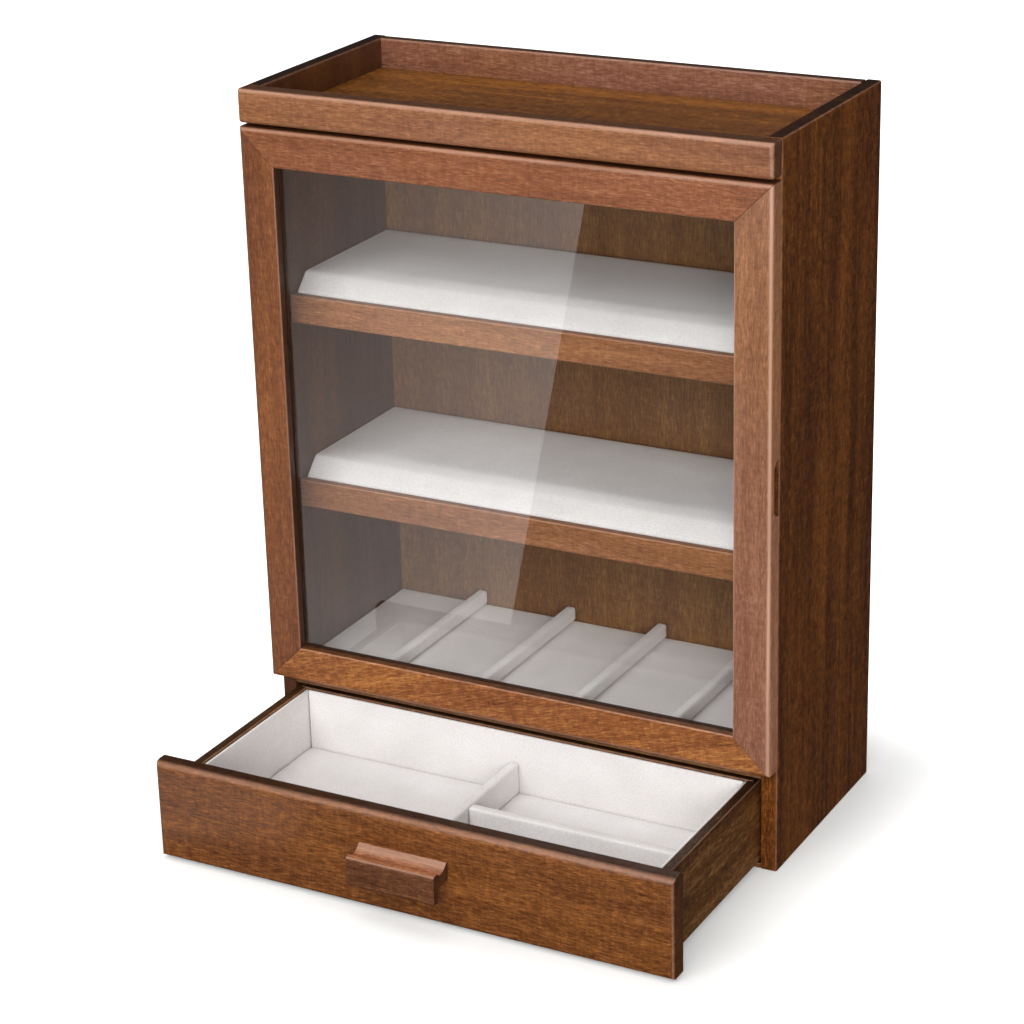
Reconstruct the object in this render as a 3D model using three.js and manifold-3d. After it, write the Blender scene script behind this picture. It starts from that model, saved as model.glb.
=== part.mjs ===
// Table-top display case for folding knives, in stained wood: three padded levels behind a glazed
// door, a lined drawer under them and an open tray on top.
// Millimetres, +Z up, the front faces -Y. The origin is the middle of the closed case's underside.
// The door is closed and the drawer stands open.
import * as THREE from 'three';
import { mergeVertices } from 'three/addons/utils/BufferGeometryUtils.js';
import Module from 'manifold-3d';

const wasm = await Module();
wasm.setup();

// Driving sizes of the case
const caseWidth = 312;
const caseHeight = 406.5;
const caseDepth = 145; // from the door's face to the back edges of the sides
const sideThick = 9;
const doorThick = 11;
const doorStandOff = 0.8; // air between the closed door and the case's front edges
const frontReveal = 1.9; // air between tray rail, door and drawer front
const glueLine = 0.2; // between glued neighbours
const dadoDepth = 3;
const dadoStop = 6; // dadoes start this far behind the front edges
const frontRound = 3; // router's round on the front edges
const arris = 1.2; // eased edges of the boards
const overcut = 1; // how far a cutter reaches past the wood

// Tray on top
const trayRailHeight = 19;
const trayDepth = 16.7;
const trayBackThick = 7.5;
const topPanelThick = 7;
const topTongueThick = 4; // let into the sides, under a shoulder
const rimRound = 1.5;

// Back and bottom
const backThick = 5;
const backInset = 2.5;
const backRabbet = 4;
const bottomThick = 3;

// Shelves and linings
const deckThick = 7;
const shelfThick = 7;
const shelfUndersides = [158, 268];
const lipThick = 5.6;
const lipHeight = 16.3;
const lipSetBack = 17.9; // from the case's front edges to the lip's face
const liningGap = 0.3; // round every fabric-covered piece
const padRise = 19.2; // top of a shelf pad over its shelf
const padBevel = 10;
const padCrown = 0.8;
const padRound = 2.5; // of its back top edge
const padEndRound = 1.5;
const floorPadThick = 4;
const slotDividerThick = 6;
const slotDividerHeight = 8.6;
const slotDividerCount = 4;
const coveredRound = 1; // corners of fabric-covered card
const coveredCorner = 0.7; // upright corners of thin card
const coveredEdge = 0.5; // softened ends

// Door frame
const frameWidth = 21;
const glassLip = 5; // wood in front of the glass
const glassRabbet = 5; // width of the rabbet that holds the glass
const glassThick = 3;
const glassGap = 0.4;
const beadRound = 1.2;
const notchHeight = 31;
const notchDepth = 6.2;
const notchReach = 9; // inwards from the stile's outer edge
const notchRound = 5;

// Hinges and catch
const hingeLength = 38;
const hingeInset = 42; // from the door's ends to the hinges' middles
const leafThick = 1;
const leafReach = 8; // of each leaf over the side's edge
const knuckleRadius = 2.1;
const pinRadius = 1;
const pinPlay = 0.08;
const pinHeadRadius = 1.6;
const pinHeadThick = 0.8;
const knuckleGap = 0.25;
const knuckleCount = 3;
const barrelClear = 0.3; // between the barrel and the side's face
const hingeScrewSpacing = 22;
const screwLength = 8;
const screwRadius = 1.1;
const screwHeadRadius = 2.1;
const screwHeadDepth = 0.9;
const screwTip = 2;
const magnetRadius = 3;
const magnetThick = 3;
const strikeRadius = 3.5;
const strikeThick = 1;
const catchRise = 40; // over the finger notch
const letInGap = 0.15; // round what is let into the wood

// Drawer
const drawerHeld = 5.05; // length of the open drawer that is still in the case
const drawerFrontHeight = 57.5;
const drawerFrontLift = 1.8;
const drawerFrontThick = 11.4;
const drawerTopRound = 5;
const drawerEdgeRound = 2.5;
const drawerSideThick = 6;
const drawerBoxHeight = 49;
const drawerSideClear = 1.7;
const drawerBackClear = 1.9;
const drawerHeadClear = 1.7;
const drawerRunClear = 0.3;
const drawerTongue = 4; // of the sides in the front
const drawerRabbet = 3; // of the back in the sides
const drawerBottomThick = 3;
const drawerBottomRise = 6.5;
const drawerGroove = 3;
const linerThick = 1.5;
const linerDrop = 0.8; // below the sides' top edges
const drawerPadThick = 2.2;
const drawerDividerThick = 6;
const drawerDividerHeight = 18.6;
const longDividerOffset = -2;

// Pull
const pullWidth = 53;
const pullDepth = 15;
const pullHeight = 18.9;
const pullLand = 1; // flat strip behind the cove
const pullCoveDip = 6.4;
const pullCoveLean = 0.6; // share of the cove's width that lies behind its deepest line
const pullLipDrop = 1.9; // its front lip lies this far under its back edge
const pullLip = 4; // thickness of its front lip
const pullNeckRise = 8.4; // height of the finger groove under it
const pullGrooveRound = 5;
const pullRound = 2.2; // of its top front edge
const pullChamfer = 1; // of its bottom front edge
const pullScrewSpacing = 32;
const pullScrewRise = 2.8; // of the screws' axis over the finger groove
const pullScrewRadius = 1.5;
const pullScrewHeadRadius = 3;
const pullScrewHeadThick = 2.2;
const pullScrewBite = 9; // its length in the pull
const pullScrewPlay = 0.2;
const pullScrewEndGap = 1; // bore past the screw's tip

// Planes that follow from them
const halfWidth = caseWidth / 2;
const halfInside = halfWidth - sideThick;
const face = -caseDepth / 2;
const doorBack = face + doorThick;
const caseFront = doorBack + doorStandOff;
const caseBack = caseDepth / 2;
const backFace = caseBack - backInset - backThick;
const trayFloor = caseHeight - trayDepth;
const topPanelBottom = trayFloor - topPanelThick;
const trayRailBottom = caseHeight - trayRailHeight;
const doorTop = trayRailBottom - frontReveal;
const drawerFrontTop = drawerFrontLift + drawerFrontHeight;
const doorBottom = drawerFrontTop + frontReveal;
const drawerBoxBottom = bottomThick + drawerRunClear;
const drawerBoxTop = drawerBoxBottom + drawerBoxHeight;
const deckBottom = drawerBoxTop + drawerHeadClear;
const deckTop = deckBottom + deckThick;
const lipFront = caseFront + lipSetBack;
const lipBack = lipFront + lipThick;
const doorMiddle = (doorBottom + doorTop) / 2;
const trayBackFront = caseBack - trayBackThick;

const woodFront = new THREE.MeshStandardMaterial({ color: 0x7d4c2a, roughness: 0.42 });
const woodCase = new THREE.MeshStandardMaterial({ color: 0x5b3620, roughness: 0.45 });
const woodPull = new THREE.MeshStandardMaterial({ color: 0x6a3524, roughness: 0.4 });
const lining = new THREE.MeshStandardMaterial({ color: 0xd6d1cb, roughness: 0.95 });
const clearGlass = new THREE.MeshStandardMaterial({
  color: 0xdfeae6,
  roughness: 0.03,
  transparent: true,
  opacity: 0.25,
});
const brass = new THREE.MeshStandardMaterial({ color: 0xb08d4a, roughness: 0.35, metalness: 1 });
const steel = new THREE.MeshStandardMaterial({ color: 0xb9bcc0, roughness: 0.35, metalness: 1 });

// Turns that carry an outline's plane and its depth to the axes of the case
const axisTurns = {
  x: new THREE.Matrix4().set(0, 0, 1, 0, 1, 0, 0, 0, 0, 1, 0, 0, 0, 0, 0, 1),
  y: new THREE.Matrix4().set(0, 1, 0, 0, 0, 0, 1, 0, 1, 0, 0, 0, 0, 0, 0, 1),
  z: new THREE.Matrix4(),
};

// Extrudes an outline along an axis. It is drawn in (y, z) for x, in (z, x) for y and in (x, y) for z.
function prism(axis, outline, from, to, curveSegments = 3) {
  const geometry = new THREE.ExtrudeGeometry(outline, {
    depth: to - from,
    bevelEnabled: false,
    curveSegments,
  });
  geometry.translate(0, 0, from);
  return geometry.applyMatrix4(axisTurns[axis]);
}

// Rectangle whose corners have their own rounds: at (low, low), (high, low), (high, high), (low, high)
function roundedRectangle(lowA, highA, lowB, highB, rounds) {
  const [lowLow, highLow, highHigh, lowHigh] = rounds;
  const outline = new THREE.Shape();
  outline.moveTo(lowA + lowLow, lowB);
  outline.lineTo(highA - highLow, lowB);
  if (highLow) outline.absarc(highA - highLow, lowB + highLow, highLow, -Math.PI / 2, 0);
  outline.lineTo(highA, highB - highHigh);
  if (highHigh) outline.absarc(highA - highHigh, highB - highHigh, highHigh, 0, Math.PI / 2);
  outline.lineTo(lowA + lowHigh, highB);
  if (lowHigh) outline.absarc(lowA + lowHigh, highB - lowHigh, lowHigh, Math.PI / 2, Math.PI);
  outline.lineTo(lowA, lowB + lowLow);
  if (lowLow) outline.absarc(lowA + lowLow, lowB + lowLow, lowLow, Math.PI, Math.PI * 1.5);
  return outline;
}

// Box between two values on each axis, in either order
function block(xs, ys, zs) {
  const corners = [0, 1].map((end) => new THREE.Vector3(xs[end], ys[end], zs[end]));
  const box = new THREE.Box3().setFromPoints(corners);
  const size = box.getSize(new THREE.Vector3());
  const middle = box.getCenter(new THREE.Vector3());
  return new THREE.BoxGeometry(size.x, size.y, size.z).translate(middle.x, middle.y, middle.z);
}

// Round bar along an axis, for bores and discs. A curve of the outline gets two sides a segment.
function bar(axis, radius, centre, from, to, sides = 24) {
  const outline = new THREE.Shape().absarc(centre[0], centre[1], radius, 0, Math.PI * 2);
  return prism(axis, outline, from, to, sides / 2);
}

function solidOf(geometry) {
  const bare = geometry.clone();
  bare.deleteAttribute('normal');
  bare.deleteAttribute('uv');
  const merged = mergeVertices(bare);
  return new wasm.Manifold(new wasm.Mesh({
    numProp: 3,
    vertProperties: new Float32Array(merged.attributes.position.array),
    triVerts: new Uint32Array(merged.index.array),
  }));
}

function geometryOf(solid) {
  const { vertProperties, triVerts } = solid.getMesh();
  const geometry = new THREE.BufferGeometry();
  geometry.setAttribute('position', new THREE.BufferAttribute(vertProperties, 3));
  geometry.setIndex(new THREE.BufferAttribute(triVerts, 1));
  const faceted = geometry.toNonIndexed();
  faceted.computeVertexNormals();
  return faceted;
}

function cut(geometry, cutters) {
  return geometryOf(cutters.reduce((solid, cutter) => solid.subtract(solidOf(cutter)), solidOf(geometry)));
}

function join(first, ...others) {
  return geometryOf(others.reduce((solid, other) => solid.add(solidOf(other)), solidOf(first)));
}

function common(first, second) {
  return geometryOf(solidOf(first).intersect(solidOf(second)));
}

function piece(name, geometry, material) {
  const mesh = new THREE.Mesh(geometry, material);
  mesh.name = name;
  return mesh;
}

// Extrusion with softly rounded ends, for what is covered with fabric
function softPrism(axis, outline, from, to, round, curveSegments = 2) {
  const geometry = new THREE.ExtrudeGeometry(outline, {
    depth: to - from - 2 * round,
    bevelThickness: round,
    bevelSize: round,
    bevelOffset: -round,
    bevelSegments: 2,
    curveSegments,
  });
  geometry.translate(0, 0, from + round);
  return geometry.applyMatrix4(axisTurns[axis]);
}

// One member of a mitred frame: its outline is drawn in (inwards from the outer edge, back from the face)
function mitredMember(outline, length) {
  const settings = { depth: length, bevelEnabled: false, curveSegments: 4 };
  const geometry = new THREE.ExtrudeGeometry(outline, settings);
  const position = geometry.attributes.position;
  for (let i = 0; i < position.count; i += 1) {
    const inset = position.getX(i) + glueLine / Math.SQRT2;
    position.setZ(i, position.getZ(i) > length / 2 ? length - inset : inset);
  }
  return geometry;
}

// Four mitred members round the rectangle xs by zs, with their faces at y
function mitredFrame(outline, xs, zs, y) {
  const width = xs[1] - xs[0];
  const height = zs[1] - zs[0];
  const member = (length, turn, x, z) => (
    mitredMember(outline, length).rotateY(turn * Math.PI / 2).translate(x, y, z));
  return {
    left: member(height, 0, xs[0], zs[0]),
    top: member(width, 1, xs[0], zs[1]),
    right: member(height, 2, xs[1], zs[1]),
    bottom: member(width, -1, xs[1], zs[0]),
  };
}

// Hinges: the pin stands clear of the left side, halfway between the door's back and the case's edge
const hingeX = -(halfWidth + knuckleRadius + barrelClear);
const hingeY = caseFront - doorStandOff / 2;
const hingeHeights = { lower: doorBottom + hingeInset, upper: doorTop - hingeInset };
const leafEnd = leafReach - halfWidth;
const hingeScrewX = leafEnd - leafReach / 2;

// Countersunk wood screw along +Y, its head's top at y = 0. With play it is the hole for one.
function countersunkScrew(play = 0) {
  const headTop = play ? -overcut : 0;
  const profile = [
    [0, headTop],
    [screwHeadRadius + play, headTop],
    [screwHeadRadius + play, play],
    [screwRadius + play, screwHeadDepth + play],
    [screwRadius + play, screwLength - screwTip],
    [0, screwLength + play],
  ];
  return new THREE.LatheGeometry(profile.map(([radius, y]) => new THREE.Vector2(radius, y)), 16);
}

// The screws' places on one hinge, in the case's frame, with their heads at y
function hingeScrews(hingeHeight, y, towardBack, play) {
  return [-1, 1].map((end) => {
    const screw = countersunkScrew(play);
    if (!towardBack) screw.rotateZ(Math.PI);
    return screw.translate(hingeScrewX, y, hingeHeight + end * hingeScrewSpacing / 2);
  });
}

// Recess for a leaf, open to the side and to the gap between door and case
function leafRecess(hingeHeight, y, towardBack) {
  const inward = towardBack ? 1 : -1;
  return block(
    [-halfWidth - overcut, leafEnd + letInGap],
    [y - inward, y + inward * (leafThick + letInGap)],
    [hingeHeight - hingeLength / 2 - letInGap, hingeHeight + hingeLength / 2 + letInGap],
  );
}

// A leaf with its knuckles, about the pin's axis at the hinge's middle
function hingeLeaf(knuckles, towardBack) {
  const inward = towardBack ? 1 : -1;
  const thickness = [inward * doorStandOff / 2, inward * (doorStandOff / 2 + leafThick)];
  const plateStart = knuckleRadius + knuckleGap;
  const step = hingeLength / knuckleCount;
  let leaf = block([plateStart, leafEnd - hingeX], thickness, [-hingeLength / 2, hingeLength / 2]);
  for (const knuckle of knuckles) {
    const from = -hingeLength / 2 + knuckle * step + (knuckle > 0 ? knuckleGap / 2 : 0);
    const to = -hingeLength / 2 + (knuckle + 1) * step - (knuckle < knuckleCount - 1 ? knuckleGap / 2 : 0);
    const root = block([0, plateStart + leafThick], thickness, [from, to]);
    leaf = join(leaf, bar('z', knuckleRadius, [0, 0], from, to), root);
  }
  const bore = bar('z', pinRadius + pinPlay, [0, 0], -hingeLength, hingeLength);
  const holes = hingeScrews(0, inward * doorStandOff / 2, towardBack, letInGap);
  return cut(leaf, [bore, ...holes.map((hole) => hole.translate(-hingeX, 0, 0))]);
}

function hingePin() {
  const headBottom = hingeLength / 2 + pinPlay;
  const profile = [
    [0, -hingeLength / 2],
    [pinRadius, -hingeLength / 2],
    [pinRadius, headBottom],
    [pinHeadRadius, headBottom],
    [pinHeadRadius, headBottom + pinHeadThick],
    [0, headBottom + pinHeadThick],
  ];
  const points = profile.map(([radius, z]) => new THREE.Vector2(radius, z));
  return new THREE.LatheGeometry(points, 24).rotateX(Math.PI / 2);
}

// The catch: a magnet in the right side's front edge and a steel disc in the door's back
const catchPlace = [doorMiddle + catchRise, halfWidth - sideThick / 2];

function catchDisc(radius, from, to) {
  return bar('y', radius, catchPlace, from, to);
}

// A side board with its dadoes, and a rabbet for the back
function sidePanel(side) {
  const xs = [side * halfInside, side * halfWidth].sort((a, b) => a - b);
  const planRounds = side > 0 ? [0, arris, arris, 0] : [arris, 0, 0, arris];
  const plan = roundedRectangle(...xs, caseFront, caseBack, planRounds);
  const front = roundedRectangle(0, caseHeight, ...xs, [0, rimRound, rimRound, 0]);
  const board = common(prism('z', plan, 0, caseHeight), prism('y', front, caseFront, caseBack));
  const housing = (depth, ys, zFrom, zTo) => block(
    [side * (halfInside - overcut), side * (halfInside + depth)],
    ys,
    [zFrom - glueLine, zTo + glueLine],
  );
  const stopped = caseFront + dadoStop;
  const cutters = [
    housing(backRabbet, [backFace - glueLine, caseBack + overcut], -overcut, topPanelBottom - glueLine),
    housing(dadoDepth, [stopped, trayBackFront], topPanelBottom, topPanelBottom + topTongueThick),
    housing(dadoDepth, [stopped, backFace], deckBottom, deckTop),
    housing(dadoDepth, [stopped, backFace], -overcut, bottomThick),
    ...shelfUndersides.map((z) => housing(dadoDepth, [lipBack, backFace], z, z + shelfThick)),
  ];
  if (side < 0) {
    for (const height of Object.values(hingeHeights)) {
      cutters.push(leafRecess(height, caseFront, true), ...hingeScrews(height, caseFront, true, letInGap));
    }
  } else {
    const magnetEnd = caseFront + magnetThick + letInGap;
    cutters.push(catchDisc(magnetRadius + letInGap, caseFront - overcut, magnetEnd));
  }
  return cut(board, cutters);
}

// A board between the sides, with its ends let into their dadoes. stop leaves the front corners plain.
function housedBoard(front, back, bottom, thick, stop) {
  const plain = halfInside - glueLine;
  const housed = halfInside + dadoDepth - glueLine;
  const outline = new THREE.Shape();
  outline.moveTo(-plain, front);
  outline.lineTo(plain, front);
  if (stop) {
    outline.lineTo(plain, front + stop);
  }
  outline.lineTo(housed, front + stop);
  outline.lineTo(housed, back);
  outline.lineTo(-housed, back);
  outline.lineTo(-housed, front + stop);
  if (stop) {
    outline.lineTo(-plain, front + stop);
  }
  return prism('z', outline, bottom, bottom + thick);
}

// Tray floor: a shoulder over each end's tongue keeps its face whole between the sides
function topPanel() {
  const board = housedBoard(
    caseFront, trayBackFront - glueLine, topPanelBottom, topPanelThick, dadoStop + glueLine);
  const shoulders = [-1, 1].map((side) => block(
    [side * (halfInside - glueLine), side * (halfInside + dadoDepth)],
    [caseFront, caseBack],
    [topPanelBottom + topTongueThick, trayFloor + overcut],
  ));
  return cut(board, shoulders);
}

function backPanel() {
  const edge = halfInside + backRabbet - glueLine;
  return block([-edge, edge], [backFace, backFace + backThick], [0, topPanelBottom - glueLine]);
}

function trayFrontRail() {
  const back = caseFront - glueLine;
  const section = roundedRectangle(face, back, trayRailBottom, caseHeight, [
    frontRound, 0, rimRound, frontRound]);
  const plan = roundedRectangle(-halfWidth, halfWidth, face, back, [frontRound, frontRound, 0, 0]);
  return common(prism('x', section, -halfWidth, halfWidth), prism('z', plan, trayRailBottom, caseHeight));
}

function trayBackRail() {
  const end = halfInside - glueLine;
  const section = roundedRectangle(
    trayBackFront, caseBack, topPanelBottom, caseHeight, [0, 0, rimRound, rimRound]);
  return prism('x', section, -end, end);
}

function shelfLip(underside) {
  const end = halfInside - glueLine;
  const section = roundedRectangle(
    lipFront, lipBack - glueLine, underside, underside + lipHeight, [arris, 0, arris, arris]);
  return prism('x', section, -end, end);
}

// Display pad: a foam block with a sloped front behind the lip and a slightly crowned top
function shelfPad(underside) {
  const front = lipBack + liningGap;
  const back = backFace - liningGap;
  const bottom = underside + shelfThick + liningGap;
  const top = underside + shelfThick + padRise;
  const outline = new THREE.Shape();
  outline.moveTo(front, bottom);
  outline.lineTo(back, bottom);
  outline.lineTo(back, top - padRound);
  outline.absarc(back - padRound, top - padRound, padRound, 0, Math.PI / 2);
  outline.quadraticCurveTo((front + padBevel + back) / 2, top + 2 * padCrown, front + padBevel, top);
  outline.lineTo(front, top - padBevel);
  const end = halfInside - liningGap;
  return softPrism('x', outline, -end, end, padEndRound, 8);
}

// Display floor: one thin pad on the deck, and dividers that stand on it
const floorPadBottom = deckTop + liningGap;
const floorPadTop = floorPadBottom + floorPadThick;
const linedWidth = 2 * (halfInside - liningGap);
const slotWidth = (linedWidth - slotDividerCount * slotDividerThick) / (slotDividerCount + 1);

function displayFloorPad() {
  const end = halfInside - liningGap;
  const front = caseFront + liningGap;
  const outline = roundedRectangle(-end, end, front, backFace - liningGap, Array(4).fill(coveredRound));
  return softPrism('z', outline, floorPadBottom, floorPadTop, coveredEdge);
}

function slotDivider(index) {
  const left = -linedWidth / 2 + (index + 1) * slotWidth + index * slotDividerThick;
  const bottom = floorPadTop + liningGap;
  const section = roundedRectangle(
    bottom, bottom + slotDividerHeight, left, left + slotDividerThick, [0, coveredRound, coveredRound, 0]);
  return softPrism('y', section, caseFront + liningGap, backFace - liningGap, coveredEdge);
}

// Door: a mitred frame rabbeted from behind for the glass, which four beads hold
const doorXs = [-halfWidth, halfWidth];
const glassFront = face + glassLip + glueLine;
const beadFront = glassFront + glassThick + glueLine;

function doorSection() {
  const outline = new THREE.Shape();
  outline.moveTo(0, doorThick);
  outline.lineTo(0, frontRound);
  outline.absarc(frontRound, frontRound, frontRound, Math.PI, Math.PI * 1.5);
  outline.lineTo(frameWidth - arris, 0);
  outline.absarc(frameWidth - arris, arris, arris, -Math.PI / 2, 0);
  outline.lineTo(frameWidth, glassLip);
  outline.lineTo(frameWidth - glassRabbet, glassLip);
  outline.lineTo(frameWidth - glassRabbet, doorThick);
  return outline;
}

// Finger notch: a hollow routed in the back of the right stile, open to its outer edge
function fingerNotch() {
  const outline = roundedRectangle(
    doorBack - notchDepth,
    doorBack + overcut,
    doorMiddle - notchHeight / 2,
    doorMiddle + notchHeight / 2,
    [notchRound, 0, 0, notchRound],
  );
  return prism('x', outline, halfWidth - notchReach, halfWidth + overcut, 6);
}

// The door's members, with the finger notch, the hinge recesses and the strike's seat
function doorMembers() {
  const members = mitredFrame(doorSection(), doorXs, [doorBottom, doorTop], face);
  const strikeSeat = catchDisc(
    strikeRadius + letInGap, doorBack - strikeThick - letInGap, doorBack + overcut);
  const hingeCuts = Object.values(hingeHeights).flatMap((height) => [
    leafRecess(height, doorBack, false),
    ...hingeScrews(height, doorBack, false, letInGap),
  ]);
  return {
    ...members,
    left: cut(members.left, hingeCuts),
    right: cut(members.right, [fingerNotch(), strikeSeat]),
  };
}

function doorGlass() {
  const edge = frameWidth - glassRabbet + glassGap;
  return block(
    [edge - halfWidth, halfWidth - edge],
    [glassFront, glassFront + glassThick],
    [doorBottom + edge, doorTop - edge],
  );
}

function glassBeads() {
  const edge = frameWidth - glassRabbet + glueLine;
  const section = roundedRectangle(0, frameWidth - edge, 0, doorBack - beadFront, [0, 0, beadRound, 0]);
  const zs = [doorBottom + edge, doorTop - edge];
  return mitredFrame(section, [edge - halfWidth, halfWidth - edge], zs, beadFront);
}

// Drawer, modelled closed
const drawerFrontBack = face + drawerFrontThick;
const drawerOuter = halfInside - drawerSideClear;
const drawerInner = drawerOuter - drawerSideThick;
const drawerBoxBack = backFace - drawerBackClear;
const drawerBackFront = drawerBoxBack - drawerSideThick;
const drawerOpen = drawerBoxBack - caseFront - drawerHeld;
const drawerPanelBottom = drawerBoxBottom + drawerBottomRise;
const drawerPanelTop = drawerPanelBottom + drawerBottomThick;
const drawerPadBottom = drawerPanelTop + liningGap;
const drawerPadTop = drawerPadBottom + drawerPadThick;
const drawerDividerBottom = drawerPadTop + liningGap;
const drawerDividerTop = drawerDividerBottom + drawerDividerHeight;
const linerFace = drawerInner - liningGap - linerThick;
const linedFront = drawerFrontBack + liningGap + linerThick;
const linedBack = drawerBackFront - liningGap - linerThick;

// Pull: its outline is drawn at its place on the drawer's face
const pullBottom = drawerFrontLift + drawerFrontHeight / 2 - pullHeight / 2;
const pullBack = face - glueLine;
const pullFront = pullBack - pullDepth;
const pullTop = pullBottom + pullHeight;
const pullScrewHeight = pullBottom + pullNeckRise + pullScrewRise;
const pullScrewSeat = drawerFrontBack - pullScrewHeadThick - glueLine;
const pullScrewXs = [-pullScrewSpacing / 2, pullScrewSpacing / 2];

function drawerPull() {
  const lipInside = pullFront + pullLip;
  const coveBack = pullBack - pullLand;
  const lipTop = pullTop - pullLipDrop;
  const neckBottom = pullBottom + pullNeckRise;
  const outline = new THREE.Shape();
  outline.moveTo(pullBack, pullTop);
  outline.lineTo(coveBack, pullTop);
  outline.quadraticCurveTo(
    coveBack + (lipInside - coveBack) * pullCoveLean, pullTop - pullCoveDip, lipInside, lipTop);
  outline.lineTo(pullFront + pullRound, lipTop);
  outline.quadraticCurveTo(pullFront, lipTop, pullFront, lipTop - pullRound);
  outline.lineTo(pullFront, pullBottom + pullChamfer);
  outline.lineTo(pullFront + pullChamfer, pullBottom);
  outline.lineTo(lipInside, pullBottom);
  outline.absarc(
    lipInside + pullGrooveRound, neckBottom - pullGrooveRound, pullGrooveRound, Math.PI, Math.PI / 2, true);
  outline.lineTo(pullBack, neckBottom);
  const boreEnd = pullBack - pullScrewBite - pullScrewEndGap;
  const boreRadius = pullScrewRadius + pullScrewPlay;
  const bore = (x) => bar('y', boreRadius, [pullScrewHeight, x], boreEnd, pullBack + overcut, 16);
  return cut(prism('x', outline, -pullWidth / 2, pullWidth / 2, 6), pullScrewXs.map(bore));
}

// Screw from inside the drawer's front into the pull
function pullScrew(x) {
  const tip = pullBack - pullScrewBite;
  const profile = [
    [0, tip],
    [pullScrewRadius, tip + pullScrewRadius],
    [pullScrewRadius, pullScrewSeat],
    [pullScrewHeadRadius, pullScrewSeat],
    [pullScrewHeadRadius, pullScrewSeat + pullScrewHeadThick / 2],
    [0, pullScrewSeat + pullScrewHeadThick],
  ];
  const points = profile.map(([radius, y]) => new THREE.Vector2(radius, y));
  return new THREE.LatheGeometry(points, 16).translate(x, 0, pullScrewHeight);
}

function drawerFront() {
  const section = roundedRectangle(face, drawerFrontBack, drawerFrontLift, drawerFrontTop, [
    drawerEdgeRound, 0, drawerEdgeRound, drawerTopRound]);
  const plan = roundedRectangle(-halfWidth, halfWidth, face, drawerFrontBack, [
    drawerEdgeRound, drawerEdgeRound, 0, 0]);
  const board = common(
    prism('x', section, -halfWidth, halfWidth, 5),
    prism('z', plan, drawerFrontLift, drawerFrontTop),
  );
  const sideHousings = [-1, 1].map((side) => block(
    [side * (drawerInner - glueLine), side * (drawerOuter + glueLine)],
    [drawerFrontBack - drawerTongue - glueLine, drawerFrontBack + overcut],
    [drawerBoxBottom - glueLine, drawerBoxTop + glueLine],
  ));
  const groove = block(
    [-drawerInner, drawerInner],
    [drawerFrontBack - drawerGroove - glueLine, drawerFrontBack + overcut],
    [drawerPanelBottom - glueLine, drawerPanelTop + glueLine],
  );
  const screwHoles = pullScrewXs.flatMap((x) => [
    bar('y', pullScrewRadius + pullScrewPlay, [pullScrewHeight, x], face - overcut, drawerFrontBack, 16),
    bar('y', pullScrewHeadRadius + pullScrewPlay, [pullScrewHeight, x],
      pullScrewSeat - glueLine, drawerFrontBack + overcut, 20),
  ]);
  return cut(board, [...sideHousings, groove, ...screwHoles]);
}

function drawerSide(side) {
  const xs = [side * drawerInner, side * drawerOuter].sort((a, b) => a - b);
  const section = roundedRectangle(drawerBoxBottom, drawerBoxTop, ...xs, [0, arris, arris, 0]);
  const board = prism('y', section, drawerFrontBack - drawerTongue, drawerBoxBack);
  const bottomGroove = block(
    [side * (drawerInner - overcut), side * (drawerInner + drawerGroove)],
    [drawerFrontBack - drawerTongue - overcut, drawerBackFront + drawerGroove + glueLine],
    [drawerPanelBottom - glueLine, drawerPanelTop + glueLine],
  );
  const backHousing = block(
    [side * (drawerInner - overcut), side * (drawerInner + drawerRabbet)],
    [drawerBackFront - glueLine, drawerBoxBack + overcut],
    [drawerBoxBottom - overcut, drawerBoxTop + overcut],
  );
  return cut(board, [bottomGroove, backHousing]);
}

function drawerBack() {
  const end = drawerInner + drawerRabbet - glueLine;
  const section = roundedRectangle(drawerBackFront, drawerBoxBack, drawerBoxBottom, drawerBoxTop, [
    0, 0, arris, arris]);
  const groove = block(
    [-halfWidth, halfWidth],
    [drawerBackFront - overcut, drawerBackFront + drawerGroove + glueLine],
    [drawerPanelBottom - glueLine, drawerPanelTop + glueLine],
  );
  return cut(prism('x', section, -end, end), [groove]);
}

function drawerBottom() {
  const end = drawerInner + drawerGroove - glueLine;
  return block(
    [-end, end],
    [drawerFrontBack - drawerGroove, drawerBackFront + drawerGroove],
    [drawerPanelBottom, drawerPanelTop],
  );
}

function coveredCard(xs, ys, zs) {
  const plan = roundedRectangle(...xs, ...ys, Array(4).fill(coveredCorner));
  return softPrism('z', plan, ...zs, coveredEdge);
}

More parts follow.
